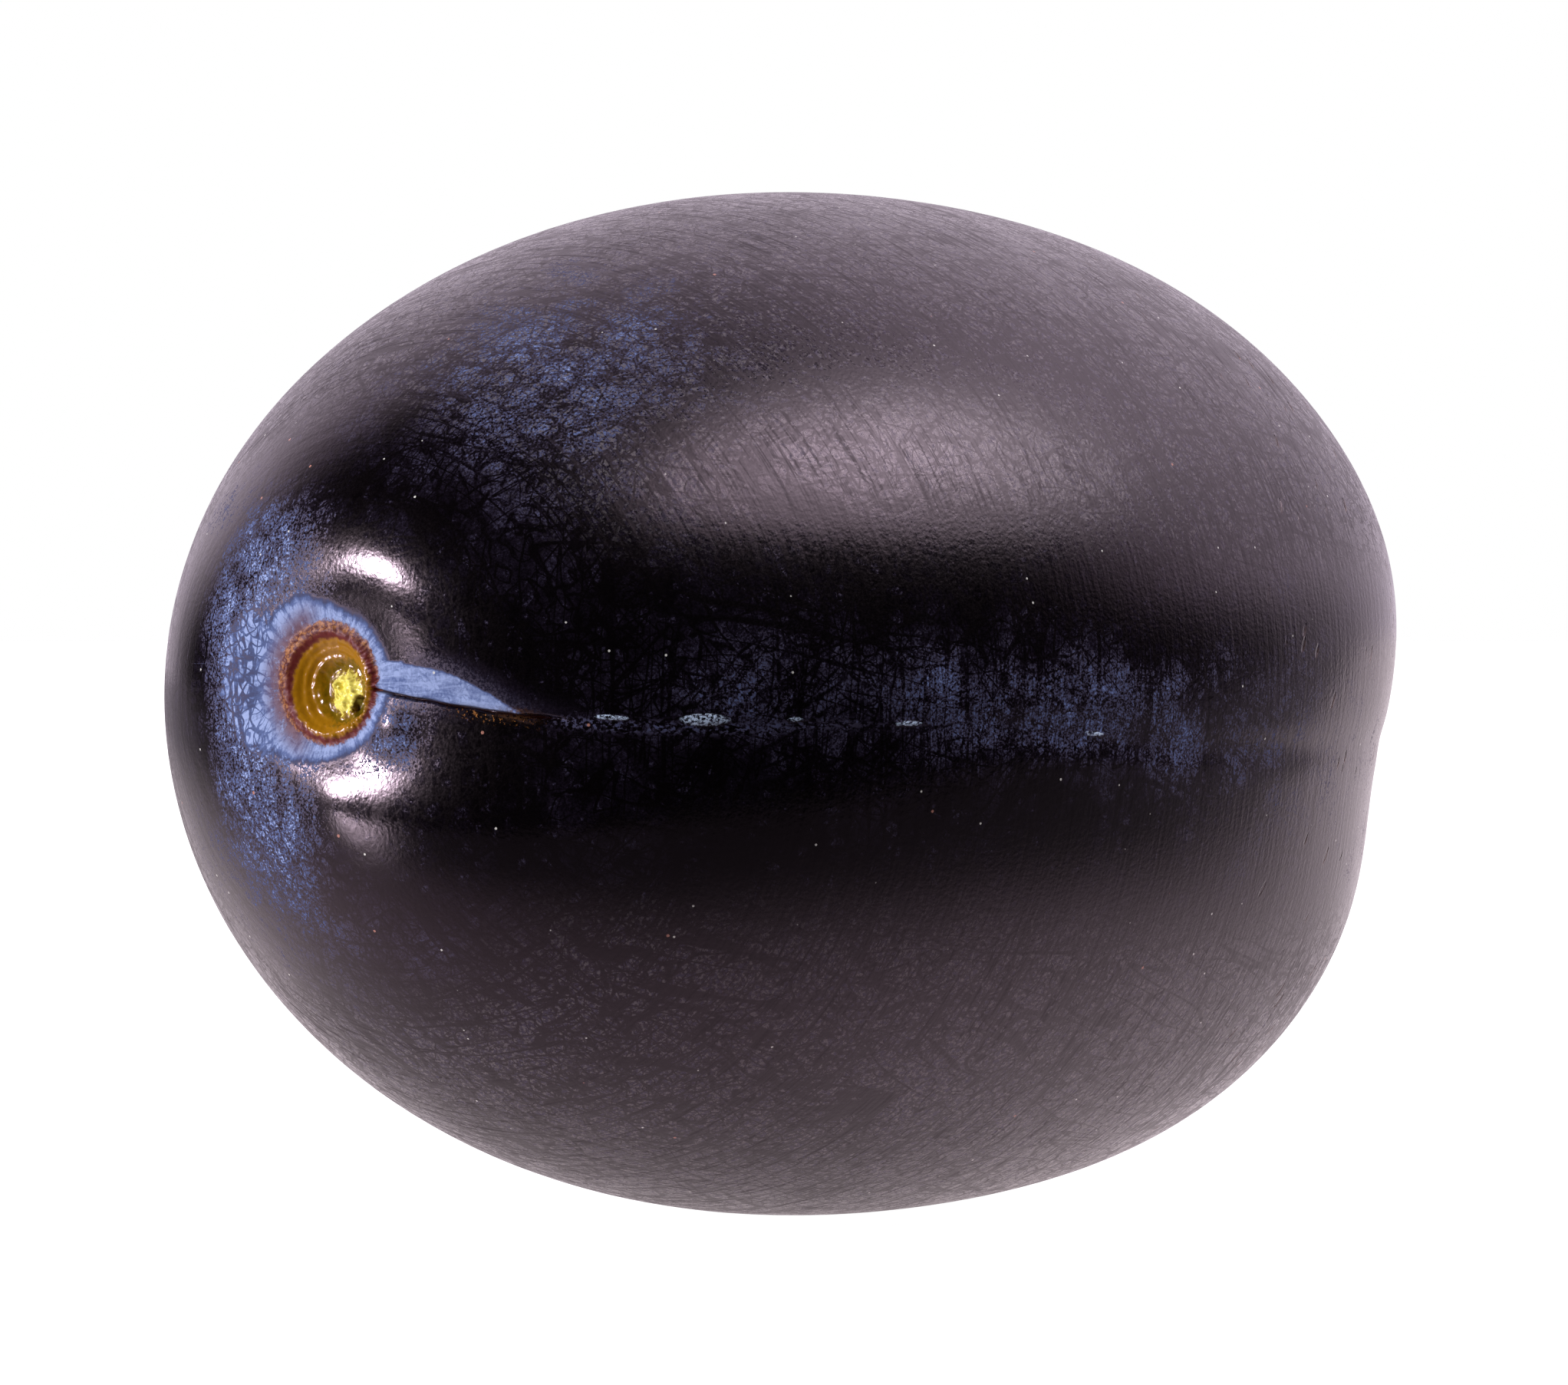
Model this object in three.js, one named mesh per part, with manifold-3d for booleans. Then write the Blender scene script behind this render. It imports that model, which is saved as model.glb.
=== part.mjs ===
// A ripe blue-black plum without its stalk, lying on one cheek on a small flat spot.
// It is one fruit and one solid. Sizes are in millimetres.
// +Z is up, the stem end points along -X and the suture, the seam between the two cheeks, faces -Y.

import * as THREE from "three";
import { mergeVertices } from "three/addons/utils/BufferGeometryUtils.js";
import Module from "manifold-3d";

const wasm = await Module();
wasm.setup();

const radians = THREE.MathUtils.degToRad;

// The body is an ellipsoid: stem to blossom end, suture to back, cheek to cheek.
const HALF_LENGTH = 28.75;
const HALF_DEPTH = 20.3;
const HALF_WIDTH = 19.95;

// The blossom half is fuller than the ellipsoid. Angles along the fruit count from the stem pole.
const FULLNESS = { height: 1.64, at: radians(127.5), reach: radians(25) };
const LOWER_CHEEK = { height: 0.44, at: radians(120), around: radians(-52), reach: radians(24) };

// The stem pole leans towards the suture and towards the upper cheek.
const LEAN_TO_SUTURE = 0.3;
const LEAN_UP = 0.8;
const LEAN_SHARPNESS = 5;

// The suture strays from the plane through the axis: a hook at the stem, then one slow wave.
const HOOK = { angle: radians(9), reach: radians(22) };
const WAVE = { angle: radians(3), at: radians(59), reach: radians(23) };

// The valley along the suture, in three stretches that run into each other.
const VALLEYS = [
  { depth: 0.75, at: radians(17), reach: radians(14), width: 3.4 },
  { depth: 0.16, at: radians(80), reach: radians(60), width: 5.7 },
  { depth: 1.0, at: radians(131.5), reach: radians(30), width: 5.7 },
];

// Beside the last stretch the lower cheek lies lower than the upper one.
const STEP = { height: 0.87, at: radians(131.5), reach: radians(30), slope: 2.6, width: 16.7 };

// The seam itself, a fine crease in the bottom of the valley.
const CREASE = { depth: 0.1, width: 0.7 };

// The stem cavity, and the dimple at the blossom end.
const STEM_CAVITY = { depth: 1.35, width: 4.3 };
const BLOSSOM_DIMPLE = { depth: 0.45, width: 2.2 };

// The stalk scar at the stem pole: a raised rim, a dished floor, an inner ring and a torn centre.
const SCAR = {
  rimRadius: 1.82,
  rimHeight: 0.16,
  rimWidth: 0.24,
  floorRadius: 1.65,
  floorDepth: 0.42,
  ringRadius: 0.78,
  ringHeight: 0.08,
  ringWidth: 0.16,
  centreHeight: 0.2,
  centreWidth: 0.34,
};

// The fruit lies with its suture turned a little down and its stem end a little raised.
const SUTURE_TURNED_DOWN = radians(3.8);
const STEM_END_RAISED = radians(1.6);

// The ellipsoid's middle, seen from the middle of the flat spot. It is low enough for the flat spot
// to cut about 0.3 mm off the lower cheek.
const MIDDLE = new THREE.Vector3(-3.6, 0.2, 19.97);

// The mesh: meridians gather at the suture, rings at both poles.
const MERIDIANS = 80;
const RINGS = 52;
const GATHER_AT_SUTURE = 0.62;
const GATHER_AT_POLES = 0.68;

function bell(value, centre, reach) {
  return Math.exp(-(((value - centre) / reach) ** 2));
}

// How far the suture has turned round the axis at this distance from the stem.
function sutureTurn(fromStem) {
  const hook = HOOK.angle * Math.exp(-fromStem / HOOK.reach);
  const wave = WAVE.angle * bell(fromStem, WAVE.at, WAVE.reach);
  return wave - hook;
}

// A unit ray from the middle of the fruit, as shares along the stem, the suture and the upper cheek.
function ray(fromStem, around) {
  const out = Math.sin(fromStem);
  return new THREE.Vector3(Math.cos(fromStem), out * Math.cos(around), out * Math.sin(around));
}

const LOWER_CHEEK_RAY = ray(LOWER_CHEEK.at, LOWER_CHEEK.around);

// How far the skin stands off the ellipsoid. sideways is the distance from the suture, in mm.
function swelling(fromStem, sideways, direction) {
  let height = FULLNESS.height * bell(fromStem, FULLNESS.at, FULLNESS.reach);

  const fromCheek = (1 - direction.dot(LOWER_CHEEK_RAY)) / (1 - Math.cos(LOWER_CHEEK.reach));
  height += LOWER_CHEEK.height * Math.exp(-fromCheek);

  for (const valley of VALLEYS) {
    height -= valley.depth * bell(fromStem, valley.at, valley.reach) * bell(sideways, 0, valley.width);
  }

  const lowerSide = (1 - Math.tanh(sideways / STEP.slope)) / 2;
  height -= STEP.height * lowerSide * bell(fromStem, STEP.at, STEP.reach) * bell(sideways, 0, STEP.width);

  const seam = Math.sin(fromStem) ** 2 * bell(sideways, 0, CREASE.width);
  return height - CREASE.depth * seam;
}

// The relief of the stalk scar at a distance from its middle.
function scarRelief(distance) {
  const rim = SCAR.rimHeight * bell(distance, SCAR.rimRadius, SCAR.rimWidth);
  const ring = SCAR.ringHeight * bell(distance, SCAR.ringRadius, SCAR.ringWidth);
  const centre = SCAR.centreHeight * bell(distance, 0, SCAR.centreWidth);
  const share = Math.min(distance / SCAR.floorRadius, 1);
  return rim + ring + centre - SCAR.floorDepth * (1 - share ** 2) ** 1.5;
}

// A point of the skin, in the fruit's own axes: stem, suture, upper cheek.
function skinPoint(fromStem, fromSuture) {
  const direction = ray(fromStem, fromSuture + sutureTurn(fromStem));
  const point = direction.clone().multiply(new THREE.Vector3(HALF_LENGTH, HALF_DEPTH, HALF_WIDTH));
  const sideways = HALF_WIDTH * Math.sin(fromStem) * fromSuture;
  point.multiplyScalar(1 + swelling(fromStem, sideways, direction) / point.length());

  const fromAxis = Math.hypot(point.y, point.z);
  if (fromStem < Math.PI / 2) {
    point.x += scarRelief(fromAxis) - STEM_CAVITY.depth * bell(fromAxis, 0, STEM_CAVITY.width);
    const lean = Math.cos(fromStem) ** LEAN_SHARPNESS;
    point.y += LEAN_TO_SUTURE * lean;
    point.z += LEAN_UP * lean;
  } else {
    point.x += BLOSSOM_DIMPLE.depth * bell(fromAxis, 0, BLOSSOM_DIMPLE.width);
  }
  return point;
}

// A closed ball of triangles, each corner moved to its place on the skin, lying as the fruit lies.
function fruitGeometry() {
  const geometry = new THREE.SphereGeometry(1, MERIDIANS, RINGS);
  const position = geometry.getAttribute("position");
  for (let i = 0; i < position.count; i++) {
    const down = Math.acos(THREE.MathUtils.clamp(position.getY(i), -1, 1));
    const round = Math.atan2(position.getX(i), position.getZ(i));
    const fromStem = down - (GATHER_AT_POLES / 2) * Math.sin(2 * down);
    const fromSuture = round - GATHER_AT_SUTURE * Math.sin(round);
    const point = skinPoint(fromStem, fromSuture);
    position.setXYZ(i, -point.x, -point.y, point.z);
  }
  geometry.rotateX(SUTURE_TURNED_DOWN).rotateY(STEM_END_RAISED);
  return geometry.translate(MIDDLE.x, MIDDLE.y, MIDDLE.z);
}

function solidFrom(geometry) {
  const bare = geometry.clone();
  bare.deleteAttribute("normal");
  bare.deleteAttribute("uv");
  const merged = mergeVertices(bare, 1e-3);
  return new wasm.Manifold(
    new wasm.Mesh({
      numProp: 3,
      vertProperties: merged.getAttribute("position").array,
      triVerts: new Uint32Array(merged.index.array),
    }),
  );
}

function geometryFrom(solid) {
  const mesh = solid.getMesh();
  const geometry = new THREE.BufferGeometry();
  geometry.setAttribute("position", new THREE.BufferAttribute(mesh.vertProperties, 3));
  geometry.setIndex(new THREE.BufferAttribute(mesh.triVerts, 1));
  geometry.computeVertexNormals();
  return geometry;
}

// The fruit with its flat spot cut at the height of the origin.
function restingFruit() {
  const side = 4 * HALF_LENGTH;
  const below = new THREE.BoxGeometry(side, side, side).translate(0, 0, -side / 2);
  return geometryFrom(solidFrom(fruitGeometry()).subtract(solidFrom(below)));
}

const skin = new THREE.MeshStandardMaterial({ color: "#1d1826", roughness: 0.38, metalness: 0 });

const fruit = new THREE.Mesh(restingFruit(), skin);
fruit.name = "plum";

const plum = new THREE.Group();
plum.add(fruit);

export default plum;
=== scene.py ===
"""A ripe blue-black plum lying on a pale table: its skin, its waxy bloom and the scar of its stalk.

Sizes in the formulas are millimetres, as the fruit is measured, and become metres when the mesh is made.
+Z is up, the stem end points along -X and the suture, the seam between the two cheeks, faces -Y.
"""

import math

import bmesh
import bpy
from mathutils import Matrix, Vector, noise


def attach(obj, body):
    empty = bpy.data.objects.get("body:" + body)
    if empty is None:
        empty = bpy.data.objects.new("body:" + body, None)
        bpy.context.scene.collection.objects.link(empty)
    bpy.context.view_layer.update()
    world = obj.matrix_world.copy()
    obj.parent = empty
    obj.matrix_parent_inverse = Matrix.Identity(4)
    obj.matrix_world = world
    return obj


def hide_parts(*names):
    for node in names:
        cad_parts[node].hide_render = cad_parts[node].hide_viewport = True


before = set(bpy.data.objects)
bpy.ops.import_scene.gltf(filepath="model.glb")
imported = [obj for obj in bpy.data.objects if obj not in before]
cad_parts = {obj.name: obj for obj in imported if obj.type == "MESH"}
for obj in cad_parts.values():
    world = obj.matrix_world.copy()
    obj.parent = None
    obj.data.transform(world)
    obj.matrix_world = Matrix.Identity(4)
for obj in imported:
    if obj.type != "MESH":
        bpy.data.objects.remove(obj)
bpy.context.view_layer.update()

MM = 0.001
radians = math.radians

# ---------------- the fruit's form, as in the solid

HALF_LENGTH = 28.75
HALF_DEPTH = 20.3
HALF_WIDTH = 19.95

# Angles along the fruit count from the stem pole.
FULLNESS = {"height": 1.64, "at": radians(127.5), "reach": radians(25)}
LOWER_CHEEK = {"height": 0.44, "at": radians(120), "around": radians(-52), "reach": radians(24)}

LEAN_TO_SUTURE = 0.3
LEAN_UP = 0.8
LEAN_SHARPNESS = 5

HOOK = {"angle": radians(9), "reach": radians(22)}
WAVE = {"angle": radians(3), "at": radians(59), "reach": radians(23)}

VALLEYS = (
    {"depth": 0.75, "at": radians(17), "reach": radians(14), "width": 3.4},
    {"depth": 0.16, "at": radians(80), "reach": radians(60), "width": 5.7},
    {"depth": 1.0, "at": radians(131.5), "reach": radians(30), "width": 5.7},
)
STEP = {"height": 0.87, "at": radians(131.5), "reach": radians(30), "slope": 2.6, "width": 16.7}
CREASE = {"depth": 0.1, "width": 0.7}

STEM_CAVITY = {"depth": 1.35, "width": 4.3}
BLOSSOM_DIMPLE = {"depth": 0.45, "width": 2.2}

SCAR_RIM = {"radius": 1.82, "height": 0.16, "width": 0.24}
SCAR_FLOOR = {"radius": 1.65, "depth": 0.42}
SCAR_RING = {"radius": 0.78, "height": 0.08, "width": 0.16}
SCAR_CENTRE = {"height": 0.2, "width": 0.34}

SUTURE_TURNED_DOWN = radians(3.8)
STEM_END_RAISED = radians(1.6)
MIDDLE = Vector((-3.6, 0.2, 19.97))

# ---------------- the fine mesh

# Rings crowd at both poles, most at the stem, and meridians crowd at the suture.
MERIDIANS = 320
RINGS = 300
STEM_CROWDING = 1.2
GATHER_AT_POLES = 0.7
GATHER_AT_SUTURE = 0.8


def bell(value, centre, reach):
    return math.exp(-(((value - centre) / reach) ** 2))


def suture_turn(from_stem):
    """How far the suture has turned round the axis at this distance from the stem."""
    hook = HOOK["angle"] * math.exp(-from_stem / HOOK["reach"])
    wave = WAVE["angle"] * bell(from_stem, WAVE["at"], WAVE["reach"])
    return wave - hook


def ray(from_stem, around):
    """A unit ray from the middle of the fruit: shares along the stem, the suture and the upper cheek."""
    out = math.sin(from_stem)
    return Vector((math.cos(from_stem), out * math.cos(around), out * math.sin(around)))


LOWER_CHEEK_RAY = ray(LOWER_CHEEK["at"], LOWER_CHEEK["around"])


def swelling(from_stem, sideways, direction):
    """How far the skin stands off the ellipsoid. sideways is the distance from the suture."""
    height = FULLNESS["height"] * bell(from_stem, FULLNESS["at"], FULLNESS["reach"])

    from_cheek = (1 - direction.dot(LOWER_CHEEK_RAY)) / (1 - math.cos(LOWER_CHEEK["reach"]))
    height += LOWER_CHEEK["height"] * math.exp(-from_cheek)

    for valley in VALLEYS:
        along = bell(from_stem, valley["at"], valley["reach"])
        height -= valley["depth"] * along * bell(sideways, 0, valley["width"])

    lower_side = (1 - math.tanh(sideways / STEP["slope"])) / 2
    along = bell(from_stem, STEP["at"], STEP["reach"])
    height -= STEP["height"] * lower_side * along * bell(sideways, 0, STEP["width"])

    seam = math.sin(from_stem) ** 2 * bell(sideways, 0, CREASE["width"])
    return height - CREASE["depth"] * seam


def scar_relief(distance):
    """The relief of the stalk scar at a distance from its middle."""
    rim = SCAR_RIM["height"] * bell(distance, SCAR_RIM["radius"], SCAR_RIM["width"])
    ring = SCAR_RING["height"] * bell(distance, SCAR_RING["radius"], SCAR_RING["width"])
    centre = SCAR_CENTRE["height"] * bell(distance, 0, SCAR_CENTRE["width"])
    share = min(distance / SCAR_FLOOR["radius"], 1)
    return rim + ring + centre - SCAR_FLOOR["depth"] * (1 - share ** 2) ** 1.5


def skin_point(from_stem, from_suture):
    """A point of the skin in the fruit's own axes: stem, suture, upper cheek."""
    direction = ray(from_stem, from_suture + suture_turn(from_stem))
    point = direction * Vector((HALF_LENGTH, HALF_DEPTH, HALF_WIDTH))
    sideways = HALF_WIDTH * math.sin(from_stem) * from_suture
    point *= 1 + swelling(from_stem, sideways, direction) / point.length

    from_axis = math.hypot(point.y, point.z)
    if from_stem < math.pi / 2:
        point.x += scar_relief(from_axis) - STEM_CAVITY["depth"] * bell(from_axis, 0, STEM_CAVITY["width"])
        lean = math.cos(from_stem) ** LEAN_SHARPNESS
        point.y += LEAN_TO_SUTURE * lean
        point.z += LEAN_UP * lean
    else:
        point.x += BLOSSOM_DIMPLE["depth"] * bell(from_axis, 0, BLOSSOM_DIMPLE["width"])
    return point


def lie_down(point):
    """Turns a point from the fruit's own axes to where it lies on the table."""
    turned = Vector((-point.x, -point.y, point.z))
    turned.rotate(Matrix.Rotation(SUTURE_TURNED_DOWN, 3, "X"))
    turned.rotate(Matrix.Rotation(STEM_END_RAISED, 3, "Y"))
    return turned + MIDDLE


def from_stem_of(ring_share):
    """The angle from the stem pole of a ring, at its share of the way to the blossom end."""
    down = math.pi * ring_share ** STEM_CROWDING
    return down - GATHER_AT_POLES / 2 * math.sin(2 * down)


# ---------------- fine relief

# Slow unevenness of the skin.
UNEVENNESS = ({"height": 0.016, "size": 9.0}, {"height": 0.004, "size": 2.5})

# A crumbly grain has a finer one laid over it.
OVERTONE = {"finer": 2.3, "share": 0.5}

# The split that runs from the scar into the suture. Its upper lip is full, its far end corky.
SPLIT = {"start": 2.15, "end": 8.7, "soft": 0.5, "sideways": 0.2, "depth": 0.22, "width": 0.055}
SPLIT_WANDER = {"amount": 0.06, "size": 0.8, "start": (3, 7)}
SPLIT_LIP = {"height": 0.05, "offset": 0.2, "width": 0.13}
SPLIT_REACH = {"along": 10, "sideways": 2}
CORK = {"from": 6.8, "to": 8.2, "soft": 0.3, "height": 0.11, "least": 0.4, "half_width": 0.30, "size": 0.17}

# Small corky eyes in the suture: the angle from the stem pole, length, half width and distance from the seam.
EYES = (
    {"at": radians(31.8), "length": 1.2, "width": 0.10, "sideways": 0.40},
    {"at": radians(39.9), "length": 1.6, "width": 0.23, "sideways": 0.40},
    {"at": radians(47.6), "length": 0.6, "width": 0.09, "sideways": 0.36},
    {"at": radians(57.3), "length": 0.9, "width": 0.11, "sideways": 0.12},
    {"at": radians(74.9), "length": 0.8, "width": 0.10, "sideways": 0.13},
)
EYE_HEIGHT = 0.07

# The scar again, now with its bowl, torn centre and notch off the middle, towards the split.
# Edges are shares of the radius: inside the first the form is full, outside the second it has ended.
SCAR_REACH = 3
BOWL = {"centre": (0.18, -0.17), "radius": 1.82}
BOWL_RIDGES = (
    {"radius": 1.62, "height": 0.05, "width": 0.10},
    {"radius": 1.36, "height": 0.06, "width": 0.10},
    {"radius": 1.08, "height": 0.04, "width": 0.08},
)
BOWL_LUMPS = {"size": 0.35, "height": 0.035, "ends": (1.6, 2.0)}
TORN = {
    "centre": (0.60, -0.30),
    "radius": 0.64,
    "edge": (0.75, 1.25),
    "height": 0.20,
    "size": 0.22,
    "roughness": 0.16,
}
MOAT = {"radius": 0.98, "depth": 0.07, "width": 0.15}
NOTCH = {"centre": (1.36, -0.72), "radius": 0.36, "edge": (0.7, 1.2), "depth": 0.26}
CRUMBS = {"size": 0.13, "height": 0.085, "radius": 1.98, "width": 0.34}

# Two low swellings in the wall of the stem cavity: one beside the scar, under the split, and one below it.
CAVITY_SWELLINGS = (
    {"centre": (2.75, -1.26), "reach": 0.95, "height": 0.23},
    {"centre": (0.72, -4.02), "reach": 1.4, "height": 0.10},
)


def ramp(value, low, high):
    """0 below low, 1 above high and a smooth rise between."""
    share = max(0, min(1, (value - low) / (high - low)))
    return share * share * (3 - 2 * share)


def between(value, low, high, soft):
    """1 between low and high, 0 outside, with soft ends beyond them."""
    return ramp(value, low - soft, low) * (1 - ramp(value, high, high + soft))


def crumble(point, size):
    """A grain of that size, from about -1 to 1."""
    return noise.noise(point / size) + OVERTONE["share"] * noise.noise(point * OVERTONE["finer"] / size)


def distance_from(point, centre):
    """The distance across the stem end from a centre given as its place towards the suture and up."""
    return math.hypot(point.y - centre[0], point.z - centre[1])


def disc(distance, form):
    """1 in the middle of a round form and 0 beyond its edge."""
    full, ended = (share * form["radius"] for share in form["edge"])
    return 1 - ramp(distance, full, ended)


def scar_detail(point):
    """What the scar holds beyond its plain rim and floor. point.y is towards the suture, point.z up."""
    from_middle = math.hypot(point.y, point.z)
    if from_middle > SCAR_REACH:
        return 0
    from_bowl = distance_from(point, BOWL["centre"])
    height = sum(ridge["height"] * bell(from_bowl, ridge["radius"], ridge["width"]) for ridge in BOWL_RIDGES)
    lumps = BOWL_LUMPS["height"] * crumble(point, BOWL_LUMPS["size"])
    height += lumps * (1 - ramp(from_bowl, *BOWL_LUMPS["ends"]))

    from_torn = distance_from(point, TORN["centre"])
    torn_height = TORN["height"] + TORN["roughness"] * crumble(point, TORN["size"])
    height += disc(from_torn, TORN) * torn_height
    height -= MOAT["depth"] * bell(from_torn, MOAT["radius"], MOAT["width"])
    height -= NOTCH["depth"] * disc(distance_from(point, NOTCH["centre"]), NOTCH)

    crumbs = bell(from_middle, CRUMBS["radius"], CRUMBS["width"])
    return height + CRUMBS["height"] * crumbs * crumble(point, CRUMBS["size"])


def cavity_detail(point):
    """How far the swellings in the wall of the stem cavity stand up here."""
    height = 0
    for lump in CAVITY_SWELLINGS:
        height += lump["height"] * bell(distance_from(point, lump["centre"]), 0, lump["reach"])
    return height


def split_detail(point, sideways):
    """The split between the scar and the suture. Distances along it count from the fruit's axis."""
    along = math.hypot(point.y, point.z)
    if along > SPLIT_REACH["along"] or abs(sideways) > SPLIT_REACH["sideways"]:
        return 0
    wander = noise.noise(Vector((along / SPLIT_WANDER["size"], *SPLIT_WANDER["start"])))
    middle = SPLIT["sideways"] + SPLIT_WANDER["amount"] * wander
    open_here = between(along, SPLIT["start"], SPLIT["end"], SPLIT["soft"])
    height = -SPLIT["depth"] * open_here * bell(sideways, middle, SPLIT["width"])
    lip = bell(sideways, middle + SPLIT_LIP["offset"], SPLIT_LIP["width"])
    height += SPLIT_LIP["height"] * open_here * lip
    corky = between(along, CORK["from"], CORK["to"], CORK["soft"])
    corky *= bell(sideways, middle, CORK["half_width"])
    return height + CORK["height"] * corky * (CORK["least"] + crumble(point, CORK["size"]))


def eye_share(eye, from_stem, sideways):
    """1 in the middle of a corky eye, 0 at its edge and less beyond."""
    along = (from_stem - eye["at"]) * HALF_DEPTH / (eye["length"] / 2)
    across = (sideways - eye["sideways"]) / eye["width"]
    return max(-1, 1 - along ** 2 - across ** 2)


def best_eye_share(from_stem, sideways):
    return max(eye_share(eye, from_stem, sideways) for eye in EYES)


def fine_relief(point, from_stem, sideways):
    """How far the skin stands off the plain form, in mm."""
    height = sum(wave["height"] * noise.noise(point / wave["size"]) for wave in UNEVENNESS)
    height += EYE_HEIGHT * math.sqrt(max(0, best_eye_share(from_stem, sideways)))
    if from_stem < math.pi / 2:
        height += scar_detail(point) + cavity_detail(point) + split_detail(point, sideways)
    return height


# ---------------- where the bloom lies

# Patches of bloom: degrees from the stem pole, degrees round from the suture, reach in mm and amount.
# These are the thin blue film.
FILM_PATCHES = (
    (44.0, 66, 5.0, 0.31),
    (36.5, 70, 5.4, 0.23),
    (50.0, 60, 4.6, 0.18),
    (30.0, 54, 4.6, 0.14),
    (30.0, 146, 5.0, 0.34),
    (44.0, 92, 7.0, 0.18),
    (58.0, 80, 8.0, 0.16),
    (19.0, 140, 3.4, 0.46),
    (13.0, 122, 3.0, 0.50),
    (13.5, 168, 2.8, 0.46),
    (11.0, -124, 2.4, 0.80),
    (14.5, -124, 3.0, 0.66),
    (14.5, -150, 2.6, 0.44),
    (20.0, -112, 3.0, 0.22),
    (26.0, -74, 5.5, 0.19),
    (9.0, -24, 1.8, 1.0),
    (37.0, -62, 7.5, 0.19),
    (31.0, -122, 5.5, 0.28),
    (46.0, 6, 3.2, 0.20),
    (62.0, 3, 2.9, 0.42),
    (74.0, 4, 2.9, 0.43),
    (84.0, 3, 3.2, 0.26),
    (98.0, 2, 5.4, 0.30),
    (122.0, -2, 10.0, 0.34),
)

# Where a finger has rubbed the film away: a strip left of the scar and the black skin below it.
RUBBED_PATCHES = (
    (24.0, 152, 1.9, -0.30),
    (20.0, 172, 1.7, -0.34),
    (18.5, -160, 1.7, -0.34),
    (20.0, -138, 1.8, -0.30),
    (26.0, 118, 2.6, -0.26),
    (20.0, -50, 3.4, -0.30),
)

# Pale thick bloom that nobody has touched, on the shoulder left of the scar.
THICK_PATCHES = (
    (8.5, 178, 1.6, 0.8),
    (8.5, -142, 1.5, 0.8),
    (12.0, -160, 2.0, 0.40),
    (12.0, 160, 2.0, 0.38),
)

# The film that the suture's valley keeps, strongest a little above the seam.
VALLEY_FILM = {
    "amount": 0.33,
    "middle": 0.9,
    "width": 2.2,
    "from": radians(42),
    "to": radians(76),
    "soft": radians(26),
}
FILM_EVERYWHERE = 0.06
FILM_DRIFT = {"amount": 0.10, "size": 11.0}


def patch_points(patches):
    """Each patch as its middle on the skin, its reach and its amount."""
    return [(skin_point(radians(down), radians(round_it)), *rest) for down, round_it, *rest in patches]


def covered(point, patches):
    """How much the patches together lay on a point."""
    return sum(amount * bell((point - middle).length, 0, reach) for middle, reach, amount in patches)


def film_at(point, from_stem, sideways, patches):
    """How much of the thin film a point keeps, from 0 to 1."""
    amount = FILM_EVERYWHERE + FILM_DRIFT["amount"] * noise.noise(point / FILM_DRIFT["size"])
    along = between(from_stem, VALLEY_FILM["from"], VALLEY_FILM["to"], VALLEY_FILM["soft"])
    amount += VALLEY_FILM["amount"] * along * bell(sideways, VALLEY_FILM["middle"], VALLEY_FILM["width"])
    return max(0, min(1, amount + covered(point, patches)))


# The blossom half counts as this far from the scar.
FAR = 99.0


def angles_of(vertex):
    """The angle from the stem pole and from the suture of a corner of the plain ball."""
    down = math.acos(max(-1, min(1, vertex.co.z)))
    around = math.atan2(vertex.co.y, vertex.co.x)
    return from_stem_of(down / math.pi), around - GATHER_AT_SUTURE * math.sin(around)


def build_fruit():
    """The skin as one closed mesh. Its corners also carry where the scar, the seam and the bloom are:
    scar_place is the place from the scar's middle, seam_place is the distance along the split, the
    distance from the seam and the share of a corky eye, and cover is the thin film and the thick bloom.
    """
    film_patches = patch_points(FILM_PATCHES + RUBBED_PATCHES)
    thick_patches = patch_points(THICK_PATCHES)
    mesh = bmesh.new()
    bmesh.ops.create_uvsphere(mesh, u_segments=MERIDIANS, v_segments=RINGS, radius=1)
    scar_place = mesh.verts.layers.float_vector.new("scar_place")
    seam_place = mesh.verts.layers.float_vector.new("seam_place")
    cover = mesh.verts.layers.float_vector.new("cover")
    for vertex in mesh.verts:
        from_stem, from_suture = angles_of(vertex)
        sideways = HALF_WIDTH * math.sin(from_stem) * from_suture
        point = skin_point(from_stem, from_suture)
        outward = ray(from_stem, from_suture + suture_turn(from_stem))
        relief_place = point
        scar = Vector((0, FAR, FAR))
        along = FAR
        if from_stem < math.pi / 2:
            scar = Vector((0, point.y - LEAN_TO_SUTURE, point.z - LEAN_UP))
            along = scar.length
            relief_place = Vector((point.x, scar.y, scar.z))
        thick = min(1, covered(point, thick_patches))
        vertex[scar_place] = scar
        vertex[seam_place] = (along, sideways, best_eye_share(from_stem, sideways))
        vertex[cover] = (film_at(point, from_stem, sideways, film_patches), thick, 0)
        point = lie_down(point + outward * fine_relief(relief_place, from_stem, sideways))
        point.z = max(point.z, 0)
        vertex.co = point * MM
    bmesh.ops.recalc_face_normals(mesh, faces=mesh.faces)
    for face in mesh.faces:
        face.smooth = True
    data = bpy.data.meshes.new("plum_skin")
    mesh.to_mesh(data)
    mesh.free()
    piece = bpy.data.objects.new("plum_skin", data)
    bpy.context.scene.collection.objects.link(piece)
    return piece


# ---------------- materials

# A dot is full out to this share of its radius.
DOT_CORE = 0.6


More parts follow.
